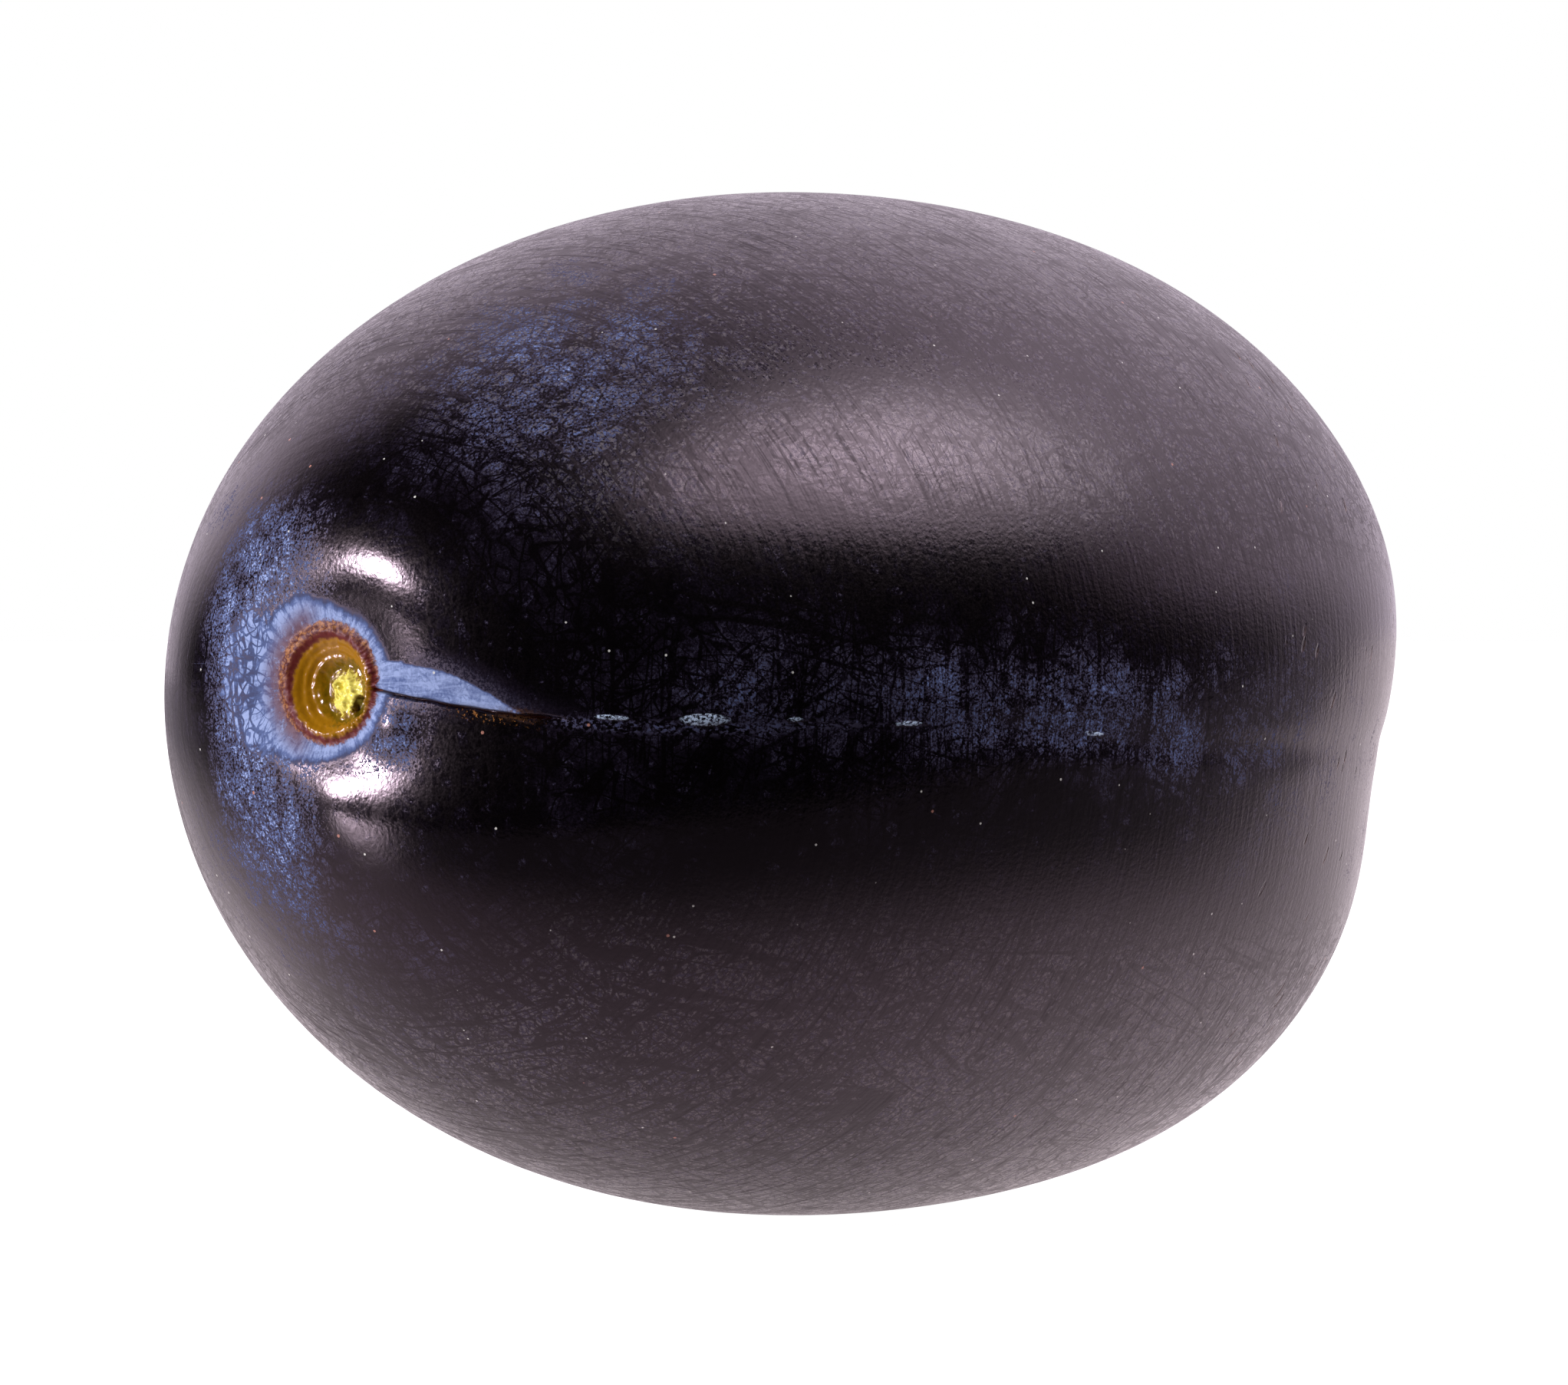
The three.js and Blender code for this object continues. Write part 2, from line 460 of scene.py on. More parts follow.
class Paint:
    """Adds and joins the nodes of a material or of the room.

    Every value is a number, a colour or a node's output.
    """

    def __init__(self, owner):
        owner.use_nodes = True
        self.nodes = owner.node_tree.nodes
        self.links = owner.node_tree.links

    def put(self, socket, value):
        if isinstance(value, bpy.types.NodeSocket):
            self.links.new(value, socket)
        elif isinstance(value, tuple) and socket.type == "RGBA":
            socket.default_value = (*value, 1)
        else:
            socket.default_value = value

    def add(self, kind, *values, **named):
        """A new node with its first inputs, and others by name with _ for a space."""
        node = self.nodes.new("ShaderNode" + kind)
        for socket, value in zip(node.inputs, values):
            self.put(socket, value)
        for name, value in named.items():
            self.put(node.inputs[name.replace("_", " ")], value)
        return node

    def maths(self, operation, a, b=0.0, clamp=False):
        node = self.add("Math", a, b)
        node.operation = operation
        node.use_clamp = clamp
        return node.outputs[0]

    def in_turn(self, operation, values):
        """The first value joined with each of the others in turn."""
        result = values[0]
        for value in values[1:]:
            result = self.maths(operation, result, value)
        return result

    def times(self, *values):
        return self.in_turn("MULTIPLY", values)

    def plus(self, *values):
        return self.in_turn("ADD", values)

    def less(self, value, taken):
        return self.maths("SUBTRACT", value, taken)

    def most(self, *values):
        return self.in_turn("MAXIMUM", values)

    def line(self, value, slope, base):
        return self.plus(self.times(value, slope), base)

    def clamped(self, value):
        return self.maths("MULTIPLY", value, 1.0, clamp=True)

    def rise(self, value, low, high, start=0.0, end=1.0):
        """From start at low to end at high, smoothly, and level beyond. High may be the smaller one."""
        node = self.add("MapRange", value, low, high, start, end)
        node.interpolation_type = "SMOOTHSTEP"
        return node.outputs["Result"]

    def fall(self, value, low, high, start=1.0):
        """From start at low to 0 at high, smoothly, and level beyond."""
        return self.rise(value, low, high, start, 0.0)

    def hump(self, value, middle, width):
        """1 at the middle, 0 a width away from it on either side."""
        return self.fall(self.maths("ABSOLUTE", self.less(value, middle)), 0.0, width)

    def tint(self, share, under, over):
        """One colour over another, as far as share says."""
        return self.add("MixRGB", share, under, over).outputs[0]

    def blend(self, share, under, over):
        """The same for plain numbers."""
        return self.plus(under, self.times(share, self.less(over, under)))

    def ladder(self, value, steps):
        """Colours at values from 0 to 1, blended between."""
        node = self.add("ValToRGB", value)
        elements = node.color_ramp.elements
        while len(elements) < len(steps):
            elements.new(0.5)
        for element, (at, colour) in zip(elements, steps):
            element.position = at
            element.color = (*colour, 1)
        return node.outputs[0]

    def vector(self, operation, a, b=(0, 0, 0)):
        node = self.add("VectorMath", a, b)
        node.operation = operation
        plain_number = operation in ("LENGTH", "DOT_PRODUCT", "DISTANCE")
        return node.outputs["Value" if plain_number else "Vector"]

    def parts(self, value):
        return tuple(self.add("SeparateXYZ", value).outputs)

    def join(self, x=0.0, y=0.0, z=0.0):
        return self.add("CombineXYZ", x, y, z).outputs[0]

    def attribute(self, name):
        node = self.add("Attribute")
        node.attribute_name = name
        return node.outputs["Vector"]

    def place(self):
        """Where a point is on the object, in mm."""
        return self.vector("MULTIPLY", self.add("TexCoord").outputs["Object"], (1 / MM,) * 3)

    def drawn_out(self, place, turn, lengths, shift=(0, 0, 0)):
        """The place turned and measured in those lengths, so that a pattern is drawn out along them."""
        angles = [radians(angle) for angle in turn]
        node = self.add("Mapping", Vector=place, Location=shift, Rotation=angles, Scale=lengths)
        node.vector_type = "TEXTURE"
        return node.outputs[0]

    def noise(self, place, size=1.0, detail=2.0, roughness=0.5, distortion=0.0):
        settings = {"Scale": 1 / size, "Detail": detail, "Roughness": roughness, "Distortion": distortion}
        return self.add("TexNoise", place, **settings)

    def grain(self, place, size=1.0, **kind):
        """Soft random grain of that size in mm, from 0 to 1 and mostly near a half."""
        return self.noise(place, size, **kind).outputs[0]

    def uneven(self, place, size=1.0, **kind):
        """The same grain, as far below 0 as above it."""
        return self.less(self.grain(place, size, **kind), 0.5)

    def dots(self, place, spacing, radius, share):
        """Small round dots, 1 inside. share is how many of the places spacing apart hold one."""
        node = self.add("TexVoronoi", place, Scale=1 / spacing)
        spot = self.fall(node.outputs["Distance"], DOT_CORE * radius / spacing, radius / spacing)
        chosen = self.maths("LESS_THAN", self.parts(node.outputs["Color"])[0], share)
        return self.times(spot, chosen)


# Fine scratches cross the bloom. Each layer of them has its own direction, in degrees about X, Y and Z,
# its length along that direction and its spacing across it in mm, its width as a share of the spacing,
# and its own share of the skin. The first layer runs round the fruit.
SCRATCH_LAYERS = (
    ((0, 0, 4), (0.34, 9.0, 9.0), 0.034, 0.44),
    ((0, 12, -35), (11.0, 0.8, 0.8), 0.026, 0.40),
    ((0, -24, -34), (9.0, 0.7, 0.7), 0.028, 0.44),
    ((0, 44, -34), (9.0, 0.7, 0.7), 0.028, 0.44),
    ((0, -53, -31), (9.0, 0.8, 0.8), 0.026, 0.44),
    ((0, -84, 0), (10.0, 0.55, 0.55), 0.032, 0.44),
    ((0, 17, 6), (12.0, 0.9, 0.9), 0.024, 0.42),
    ((0, -10, -80), (10.0, 0.8, 0.8), 0.026, 0.44),
)
BOLD_SCRATCHES = ((0, 20, -40), (16.0, 4.0, 4.0), 0.014, 0.48)
SCRATCH_GRAIN = {"detail": 1.0, "roughness": 0.35, "distortion": 0.2}
SCRATCH_CORE = 0.35
SCRATCH_REGION = {"size": 5.0, "from": -0.06, "to": 0.08}
LAYER_SHIFT = 31.0


def scratch_layer(paint, place, layer, shift=(0, 0, 0)):
    """0 in a scratch and 1 beside it. The scratches keep to some regions of the skin and fade between."""
    turn, lengths, width, here = layer
    drawn = paint.drawn_out(place, turn, lengths, shift)
    away = paint.maths("ABSOLUTE", paint.uneven(drawn, **SCRATCH_GRAIN))
    line = paint.fall(away, SCRATCH_CORE * width, width)
    region = paint.grain(paint.vector("ADD", place, shift), SCRATCH_REGION["size"])
    region = paint.rise(region, here + SCRATCH_REGION["from"], here + SCRATCH_REGION["to"])
    return paint.less(1.0, paint.times(line, region))


def unscratched(paint, place):
    """0 in any scratch and 1 beside them all."""
    layers = [scratch_layer(paint, place, BOLD_SCRATCHES)]
    for number, layer in enumerate(SCRATCH_LAYERS, start=1):
        layers.append(scratch_layer(paint, place, layer, (LAYER_SHIFT * number, 0, 0)))
    return paint.times(*layers)


# Single strokes across the bloom: both ends, as degrees from the stem pole and round from the suture,
# and the half width in mm.
STROKES = (
    ((40.9, 77.6), (39.9, 62.1), 0.07),
    ((31.8, 68.3), (35.2, 65.5), 0.12),
    ((35.2, 65.5), (40.4, 56.5), 0.09),
    ((46.8, 64.2), (45.2, 58.3), 0.06),
    ((27.9, 68.1), (25.9, 63.2), 0.12),
    ((18.0, 115.9), (14.1, 113.6), 0.12),
    ((79.0, 0.4), (77.4, -4.0), 0.08),
)
STROKE_CORE = 0.3
STROKE_WAVER = {"size": 1.4, "amount": 0.9}


def skin_place(from_stem, around):
    """A point of the skin where it lies, from its two angles in degrees."""
    return lie_down(skin_point(radians(from_stem), radians(around)))


def unstroked(paint, place):
    """0 in a stroke and 1 beside it."""
    waver = paint.noise(place, STROKE_WAVER["size"]).outputs["Color"]
    shift = paint.vector("SUBTRACT", waver, (0.5, 0.5, 0.5))
    shift = paint.vector("MULTIPLY", shift, (STROKE_WAVER["amount"],) * 3)
    wavering = paint.vector("ADD", place, shift)
    whole = 1.0
    for start, end, width in STROKES:
        start = skin_place(*start)
        reach = skin_place(*end) - start
        from_start = paint.vector("SUBTRACT", wavering, start[:])
        share = paint.clamped(paint.vector("DOT_PRODUCT", from_start, (reach / reach.length_squared)[:]))
        nearest = paint.vector("MULTIPLY", reach[:], paint.join(share, share, share))
        away = paint.vector("DISTANCE", from_start, nearest)
        whole = paint.times(whole, paint.rise(away, STROKE_CORE * width, width))
    return whole


# Below, a pair such as an edge, a start or an end is where something begins to change and where it is done.
# A line is a slope and a base. The numbers are mm, or shares from 0 to 1.

BLOTCHES = {"size": 2.4, "detail": 3.0, "roughness": 0.55}
MOTTLE = {"size": 0.5, "detail": 4.0, "roughness": 0.65}
FINE_GRAIN = {"size": 0.09, "detail": 2.0, "roughness": 0.7}
FINE_EDGE = (0.30, 0.72)
DUSTY = {"sideways": (5.0, 9.5), "stem_end": (-29.5, -25.5)}


class Spot:
    """What the patterns of the skin start from at each point."""

    def __init__(self, paint):
        self.place = paint.place()
        self.forward = paint.parts(self.place)[0]
        self.scar = paint.attribute("scar_place")
        self.side = paint.parts(self.scar)[1]
        self.from_scar = paint.vector("LENGTH", self.scar)
        self.along, self.sideways, self.eye = paint.parts(paint.attribute("seam_place"))
        self.film, self.thick, _ = paint.parts(paint.attribute("cover"))
        self.fine = paint.rise(paint.grain(self.place, **FINE_GRAIN), *FINE_EDGE)
        self.whole = paint.times(unscratched(paint, self.place), unstroked(paint, self.place))
        away = paint.rise(paint.maths("ABSOLUTE", self.sideways), *DUSTY["sideways"])
        self.dusty = paint.times(away, paint.rise(self.forward, *DUSTY["stem_end"]))


# Where the film is thin, only its thickest blotches are left, and a scratch takes a larger share.
THIN_FILM = {
    "film": (0.0, 0.8),
    "bare": (0.62, 0.28),
    "mottle": 0.5,
    "edge": (-0.30, 0.38),
    "line": (0.66, 0.12),
    "fine_line": (1.30, 0.26),
    "scratched": (0.1, 0.7),
    "kept": (0.06, 0.60),
}

# Flecks of film are left everywhere, fewest on the polished skin of the blossom half.
FLECKS = {"polished": (-8.0, 4.0), "amount": (0.34, 0.12), "edge": (0.02, 0.15)}


def thin_film(paint, spot):
    mottle = paint.uneven(spot.place, **MOTTLE)
    bare = paint.rise(spot.film, *THIN_FILM["film"], *THIN_FILM["bare"])
    left = paint.plus(paint.grain(spot.place, **BLOTCHES), paint.times(mottle, THIN_FILM["mottle"]))
    left = paint.rise(paint.less(left, bare), *THIN_FILM["edge"])
    film = paint.times(left, paint.line(spot.film, *THIN_FILM["line"]))
    film = paint.times(film, paint.line(spot.fine, *THIN_FILM["fine_line"]))
    kept = paint.rise(film, *THIN_FILM["scratched"], *THIN_FILM["kept"])
    film = paint.times(film, paint.blend(spot.whole, kept, 1.0))

    amount = paint.rise(spot.forward, *FLECKS["polished"], *FLECKS["amount"])
    flecks = paint.times(paint.rise(mottle, *FLECKS["edge"]), spot.fine, spot.whole, amount)
    return paint.most(film, flecks)


# Thick bloom: the fan on the shoulder, the collar round the scar and the wedge over the split.
RAGGED = {"size": 0.8, "detail": 4.0, "roughness": 0.65}
FAN = {"ragged": 1.1, "edge": (0.30, 0.75), "amount": 0.92}
COLLAR = {"side": (0.5, -2.2), "radius": (2.85, 3.55), "ragged": 0.7, "edge": (-0.55, 0.30)}
WEDGE = {
    "narrows": (4.6, 9.0),
    "height": 1.42,
    "ragged": 0.35,
    "top": (-0.12, 0.08),
    "foot": (0.16, 0.26),
    "start": (1.5, 2.4),
    "end": (8.4, 9.2),
    "amount": 0.92,
}

# Streaks run outwards from the scar through it, and dark flecks are left between them.
STREAKS = {"spread": 5, "outwards": 0.16, "grain": {"size": 0.28, "detail": 4.0, "roughness": 0.65}}
STREAKS_EDGE = (0.32, 0.68)
THICKNESS = {"streaks": 0.28, "fine": 0.14, "least": 0.82}
MARKED = {"side": (-1.5, -4.5), "share": (0.10, 0.55)}

# Thin bloom by the split: a haze above the wedge, a strip below the split and a line on the seam.
HAZE = {"top": (0.0, 1.3), "amount": 0.26, "start": (3.0, 4.0), "end": (6.0, 11.0), "foot": (0.2, 0.3)}
STRIP = {"foot": (-0.7, 0.0), "amount": 0.38, "top": (0.1, 0.2), "start": (2.0, 2.8), "end": (3.0, 6.5)}
THIN_BLOOM_LINE = (0.8, 0.6)
SEAM_LINE = {
    "at": 0.12,
    "width": 0.50,
    "lengths": (2.2, 0.12, 0.12),
    "edge": (0.44, 0.62),
    "amount": 0.50,
    "start": (7.5, 9.5),
    "thins": (13.5, 18.0),
    "least": 0.2,
}


def streaked(paint, spot):
    """How thick the thick bloom is where it lies: streaks, fine grain and scratches."""
    spread = paint.vector("MULTIPLY", paint.vector("NORMALIZE", spot.scar), (STREAKS["spread"],) * 3)
    outwards = paint.join(paint.times(spot.from_scar, STREAKS["outwards"]))
    streaks = paint.grain(paint.vector("ADD", spread, outwards), **STREAKS["grain"])
    streaks = paint.times(paint.rise(streaks, *STREAKS_EDGE), THICKNESS["streaks"])
    thickness = paint.plus(streaks, paint.times(spot.fine, THICKNESS["fine"]), THICKNESS["least"])
    marked = paint.rise(spot.side, *MARKED["side"], *MARKED["share"])
    return paint.times(thickness, paint.blend(marked, 1.0, spot.whole))


def thick_bloom(paint, spot):
    """The thick bloom and the thin bloom by the split."""
    along, sideways = spot.along, spot.sideways
    ragged = paint.uneven(spot.place, **RAGGED)

    fan = paint.rise(paint.plus(spot.thick, paint.times(ragged, FAN["ragged"])), *FAN["edge"])
    fan = paint.times(fan, FAN["amount"])

    radius = paint.rise(spot.side, *COLLAR["side"], *COLLAR["radius"])
    past = paint.less(paint.plus(spot.from_scar, paint.times(ragged, COLLAR["ragged"])), radius)
    collar = paint.fall(past, *COLLAR["edge"])

    top = paint.fall(along, *WEDGE["narrows"], WEDGE["height"])
    above = paint.less(paint.plus(sideways, paint.times(ragged, WEDGE["ragged"])), top)
    wedge = paint.times(paint.fall(above, *WEDGE["top"]), paint.rise(sideways, *WEDGE["foot"]))
    ends = paint.times(paint.fall(along, *WEDGE["end"]), paint.rise(along, *WEDGE["start"]))
    wedge = paint.times(wedge, ends, WEDGE["amount"])
    thick = paint.times(paint.most(fan, collar, wedge), streaked(paint, spot))

    haze = paint.times(paint.fall(above, *HAZE["top"], HAZE["amount"]), paint.rise(along, *HAZE["start"]))
    haze = paint.times(haze, paint.fall(along, *HAZE["end"]), paint.rise(sideways, *HAZE["foot"]))
    strip = paint.times(paint.rise(sideways, *STRIP["foot"]), paint.fall(sideways, *STRIP["top"]))
    strip = paint.times(strip, paint.fall(along, *STRIP["end"]), paint.rise(along, *STRIP["start"]))
    strip = paint.times(strip, STRIP["amount"])
    thin = paint.times(paint.most(haze, strip), paint.line(spot.fine, *THIN_BLOOM_LINE))

    drawn = paint.grain(paint.drawn_out(spot.place, (0, 0, 0), SEAM_LINE["lengths"]))
    line = paint.hump(sideways, SEAM_LINE["at"], SEAM_LINE["width"])
    line = paint.times(line, paint.rise(drawn, *SEAM_LINE["edge"]), SEAM_LINE["amount"])
    line = paint.times(line, paint.rise(along, *SEAM_LINE["start"]))
    line = paint.times(line, paint.rise(along, *SEAM_LINE["thins"], 1.0, SEAM_LINE["least"]))
    return paint.most(thick, thin, line)


# Away from the suture and the stem end a fine dust is left on the skin, and in it pale grains.
DUST = {"grain": {"size": 0.17, "detail": 2.0, "roughness": 0.6}, "edge": (0.42, 0.60), "amount": 0.30}
PALE_DUST = {"grain": {"size": 0.14, "detail": 3.0, "roughness": 0.7}, "edge": (0.50, 0.60), "amount": 0.85}


def dust(paint, spot, kind):
    grains = paint.rise(paint.grain(spot.place, **kind["grain"]), *kind["edge"])
    return paint.times(spot.dusty, grains, spot.whole, kind["amount"])


def bloom_thickness(paint, spot):
    """How thick the waxy bloom is here, from 0, rubbed bare, to 1, untouched."""
    film = thin_film(paint, spot)
    return paint.clamped(paint.most(film, thick_bloom(paint, spot), dust(paint, spot, DUST)))


# Colours, as shares of the light they send back.
BLOOM_LADDER = (
    (0.00, (0.0016, 0.0010, 0.0014)),
    (0.12, (0.010, 0.007, 0.014)),
    (0.30, (0.032, 0.028, 0.054)),
    (0.50, (0.050, 0.064, 0.150)),
    (0.75, (0.122, 0.170, 0.380)),
    (1.00, (0.360, 0.440, 0.760)),
)
DUST_GREY = (0.125, 0.108, 0.118)
PALE_SPECK = (0.75, 0.72, 0.70)
ROSY_SPECK = (0.45, 0.20, 0.16)
PORE_DARK = (0.010, 0.004, 0.003)
PORE_TAN = (0.22, 0.11, 0.06)
EYE_PALE = (0.62, 0.74, 1.00)
CORK_BROWN = (0.10, 0.042, 0.018)
SPLIT_DARK = (0.012, 0.002, 0.001)
RIM_DARK = (0.085, 0.012, 0.007)
RIM_TAN = (0.42, 0.165, 0.045)
RIM_RED = (0.130, 0.010, 0.005)
DARK_LEFT_OF_SCAR = (0.080, 0.024, 0.045)
BOWL_GOLD = (0.38, 0.165, 0.005)
BOWL_OLIVE = (0.25, 0.125, 0.003)
# The moat's olive flesh, made darker as painted shade of the step down round the torn centre.
MOAT_OLIVE_AND_SHADE = (0.17, 0.10, 0.003)
TORN_PALE = (1.0, 0.86, 0.18)
NOTCH_DARK = (0.120, 0.080, 0.004)

# The scar's colours, from its crumbly rim to its torn centre. Ragged is how far each edge strays.
SCAR_RAGGED = {"size": 0.22, "detail": 4.0, "roughness": 0.65}
SCAR_CRUMBS = {"grain": {"size": 0.16, "detail": 4.0, "roughness": 0.75}, "edge": (0.44, 0.62)}
RED_RING = {"radius": 1.87, "width": 0.26}
BOWL_COLOURS = {"ragged": 0.30, "gold": (0.9, 1.35), "crumbs": 0.5, "edge": (1.68, 1.82)}
MOAT_SHADE_RING = {"radius": 0.98, "width": 0.30}
TORN_COLOUR = {"ragged": 1.1, "edge": (0.64, 0.84)}
NOTCH_COLOUR = {"ragged": 0.6, "edge": (0.30, 0.38), "amount": 0.9}
SCAR_EDGE = {"ragged": 0.5, "edge": (2.14, 2.30)}
DARK_LEFT_OF_SCAR_EDGE = {"side": (-0.2, -1.4), "reach": (2.25, 3.2), "ragged": (-0.30, 0.0)}


def scar_colours(paint, spot):
    """The colour of the stalk scar, how far it covers the skin, and 1 inside its bowl."""
    ragged = paint.uneven(spot.place, **SCAR_RAGGED)
    crumbs = paint.rise(paint.grain(spot.place, **SCAR_CRUMBS["grain"]), *SCAR_CRUMBS["edge"])

    def distance(form, edge):
        straight = paint.vector("DISTANCE", spot.scar, (0, *form["centre"]))
        return paint.plus(straight, paint.times(ragged, edge["ragged"]))

    from_bowl = distance(BOWL, BOWL_COLOURS)
    from_torn = distance(TORN, TORN_COLOUR)
    from_notch = distance(NOTCH, NOTCH_COLOUR)

    colour = paint.tint(crumbs, RIM_DARK, RIM_TAN)
    colour = paint.tint(paint.hump(from_bowl, RED_RING["radius"], RED_RING["width"]), colour, RIM_RED)
    ridged = paint.tint(paint.rise(from_bowl, *BOWL_COLOURS["gold"]), BOWL_OLIVE, BOWL_GOLD)
    ridged = paint.tint(paint.times(crumbs, BOWL_COLOURS["crumbs"]), ridged, BOWL_GOLD)
    in_bowl = paint.fall(from_bowl, *BOWL_COLOURS["edge"])
    colour = paint.tint(in_bowl, colour, ridged)
    # A ring of painted shade: the moat round the torn centre is a darker olive.
    in_moat_shade = paint.hump(from_torn, MOAT_SHADE_RING["radius"], MOAT_SHADE_RING["width"])
    colour = paint.tint(in_moat_shade, colour, MOAT_OLIVE_AND_SHADE)
    colour = paint.tint(paint.fall(from_torn, *TORN_COLOUR["edge"]), colour, TORN_PALE)
    in_notch = paint.fall(from_notch, *NOTCH_COLOUR["edge"], NOTCH_COLOUR["amount"])
    colour = paint.tint(in_notch, colour, NOTCH_DARK)

    from_middle = paint.plus(spot.from_scar, paint.times(ragged, SCAR_EDGE["ragged"]))
    inside = paint.fall(from_middle, *SCAR_EDGE["edge"])
    # Just outside the rim, on its left, the skin turns a darker reddish purple.
    dark_left = paint.fall(spot.from_scar, *DARK_LEFT_OF_SCAR_EDGE["reach"])
    dark_left = paint.times(paint.rise(spot.side, *DARK_LEFT_OF_SCAR_EDGE["side"]), dark_left)
    dark_left = paint.times(dark_left, paint.rise(ragged, *DARK_LEFT_OF_SCAR_EDGE["ragged"]))
    colour = paint.tint(inside, DARK_LEFT_OF_SCAR, colour)
    return colour, paint.most(inside, dark_left), paint.times(in_bowl, inside)


# Specks are spacing, radius and share, as dots() takes them. Slits are dots drawn out round the fruit.
PALE_SPECKS = (1.0, 0.055, 0.6)
ROSY_SPECKS = (1.5, 0.075, 0.35)
SLITS = {"turn": (0, 30, 0), "lengths": (0.6, 1.4, 2.1), "dots": (1.0, 0.20, 0.4), "where": (-2.0, 10.0)}
SLIT_LIPS = {"shift": (0.03, 0, -0.10), "amount": 0.45}
EYE_COLOUR = {
    "worn": {"size": 0.3, "detail": 3.0},
    "worn_by": 0.9,
    "worn_edge": (-0.05, 0.35),
    "turn": (0, 0, 20),
    "lengths": (0.30, 0.10, 0.08),
    "flakes": {"detail": 3.0, "roughness": 0.7},
    "flakes_edge": (0.42, 0.60),
}
CORK_COLOUR = {
    "along": (7.5, 1.1),
    "width": 0.36,
    "grain": {"size": 0.14, "detail": 3.0, "roughness": 0.7},
    "edge": (0.40, 0.60),
}
SPLIT_CRUMBS = {"along": (6.6, 2.2), "sideways": (0.0, 0.35), "size": 0.10, "edge": (0.60, 0.68)}
SPLIT_COLOUR = {"width": 0.10, "end": (8.3, 8.9)}
BLOSSOM_TIP = {
    "at": (180.0, 0.0),
    "edge": (0.55, 0.77),
    "amount": 0.8,
    "grain": {"size": 0.3, "detail": 3.0},
    "ragged": 0.5,
}


def slits(paint, spot, shift=(0, 0, 0)):
    """1 in the small slits of the blossom half."""
    drawn = paint.drawn_out(spot.place, SLITS["turn"], SLITS["lengths"], shift)
    return paint.times(paint.dots(drawn, *SLITS["dots"]), paint.rise(spot.forward, *SLITS["where"]))


def with_specks(paint, spot, colour):
    """The colour with dust, specks and the lips of the slits over it."""
    colour = paint.tint(dust(paint, spot, PALE_DUST), colour, DUST_GREY)
    colour = paint.tint(paint.dots(spot.place, *PALE_SPECKS), colour, PALE_SPECK)
    colour = paint.tint(paint.dots(spot.place, *ROSY_SPECKS), colour, ROSY_SPECK)
    lips = paint.times(slits(paint, spot, SLIT_LIPS["shift"]), SLIT_LIPS["amount"])
    return paint.tint(lips, colour, PORE_TAN)


def with_cork(paint, spot, colour):
    """The colour with the corky eyes, the corky end of the split and the blossom's mark over it."""
    place, along, sideways = spot.place, spot.along, spot.sideways
    worn = paint.times(paint.uneven(place, **EYE_COLOUR["worn"]), EYE_COLOUR["worn_by"])
    worn = paint.rise(paint.plus(spot.eye, worn), *EYE_COLOUR["worn_edge"])
    flakes = paint.drawn_out(place, EYE_COLOUR["turn"], EYE_COLOUR["lengths"])
    flakes = paint.rise(paint.grain(flakes, **EYE_COLOUR["flakes"]), *EYE_COLOUR["flakes_edge"])
    colour = paint.tint(paint.times(worn, flakes), colour, EYE_PALE)

    cork = paint.rise(paint.grain(place, **CORK_COLOUR["grain"]), *CORK_COLOUR["edge"])
    cork = paint.times(cork, paint.hump(along, *CORK_COLOUR["along"]))
    cork = paint.times(cork, paint.hump(sideways, SPLIT["sideways"], CORK_COLOUR["width"]))
    colour = paint.tint(cork, colour, CORK_BROWN)

    crumbs = paint.rise(paint.grain(place, SPLIT_CRUMBS["size"]), *SPLIT_CRUMBS["edge"])
    crumbs = paint.times(crumbs, paint.hump(along, *SPLIT_CRUMBS["along"]))
    crumbs = paint.times(crumbs, paint.hump(sideways, *SPLIT_CRUMBS["sideways"]))
    colour = paint.tint(crumbs, colour, RIM_TAN)

    from_tip = paint.vector("DISTANCE", place, skin_place(*BLOSSOM_TIP["at"])[:])
    ragged = paint.times(paint.grain(place, **BLOSSOM_TIP["grain"]), BLOSSOM_TIP["ragged"])
    tip = paint.fall(paint.plus(from_tip, ragged), *BLOSSOM_TIP["edge"], BLOSSOM_TIP["amount"])
    colour = paint.tint(tip, colour, CORK_BROWN)

    in_split = paint.hump(sideways, SPLIT["sideways"], SPLIT_COLOUR["width"])
    in_split = paint.times(in_split, paint.fall(along, *SPLIT_COLOUR["end"]))
    return paint.tint(in_split, colour, SPLIT_DARK)


# Bare skin is glossy and bloom is dull. Scratches and fine hairs dull the skin where it is dusty.
GLOSS = {"bloom": (0.12, 0.65), "roughness": (0.13, 0.95), "fine": 0.06, "scratches": (0.05, 0.18)}
HAIRS = {"lengths": (0.09, 3.4, 3.4), "roughness": 0.6, "edge": (0.50, 0.64), "amount": 0.16}
SCAR_ROUGHNESS = 0.55
BOWL_ROUGHNESS = 0.22
SHINE_TINT = (1.0, 0.74, 0.92, 1)

# Heights of the finest relief, in mm. The grain is finer near the stem, and the peel runs round the fruit.
ROUND_FRUIT = (0, 0, 4)
LEATHER = {"size": 0.16, "forward": (-24.0, -14.0), "height": (0.006, 0.009)}
PEEL = {"lengths": (0.25, 5.0, 5.0), "height": 0.012}
SLIT_DEPTH = 0.08


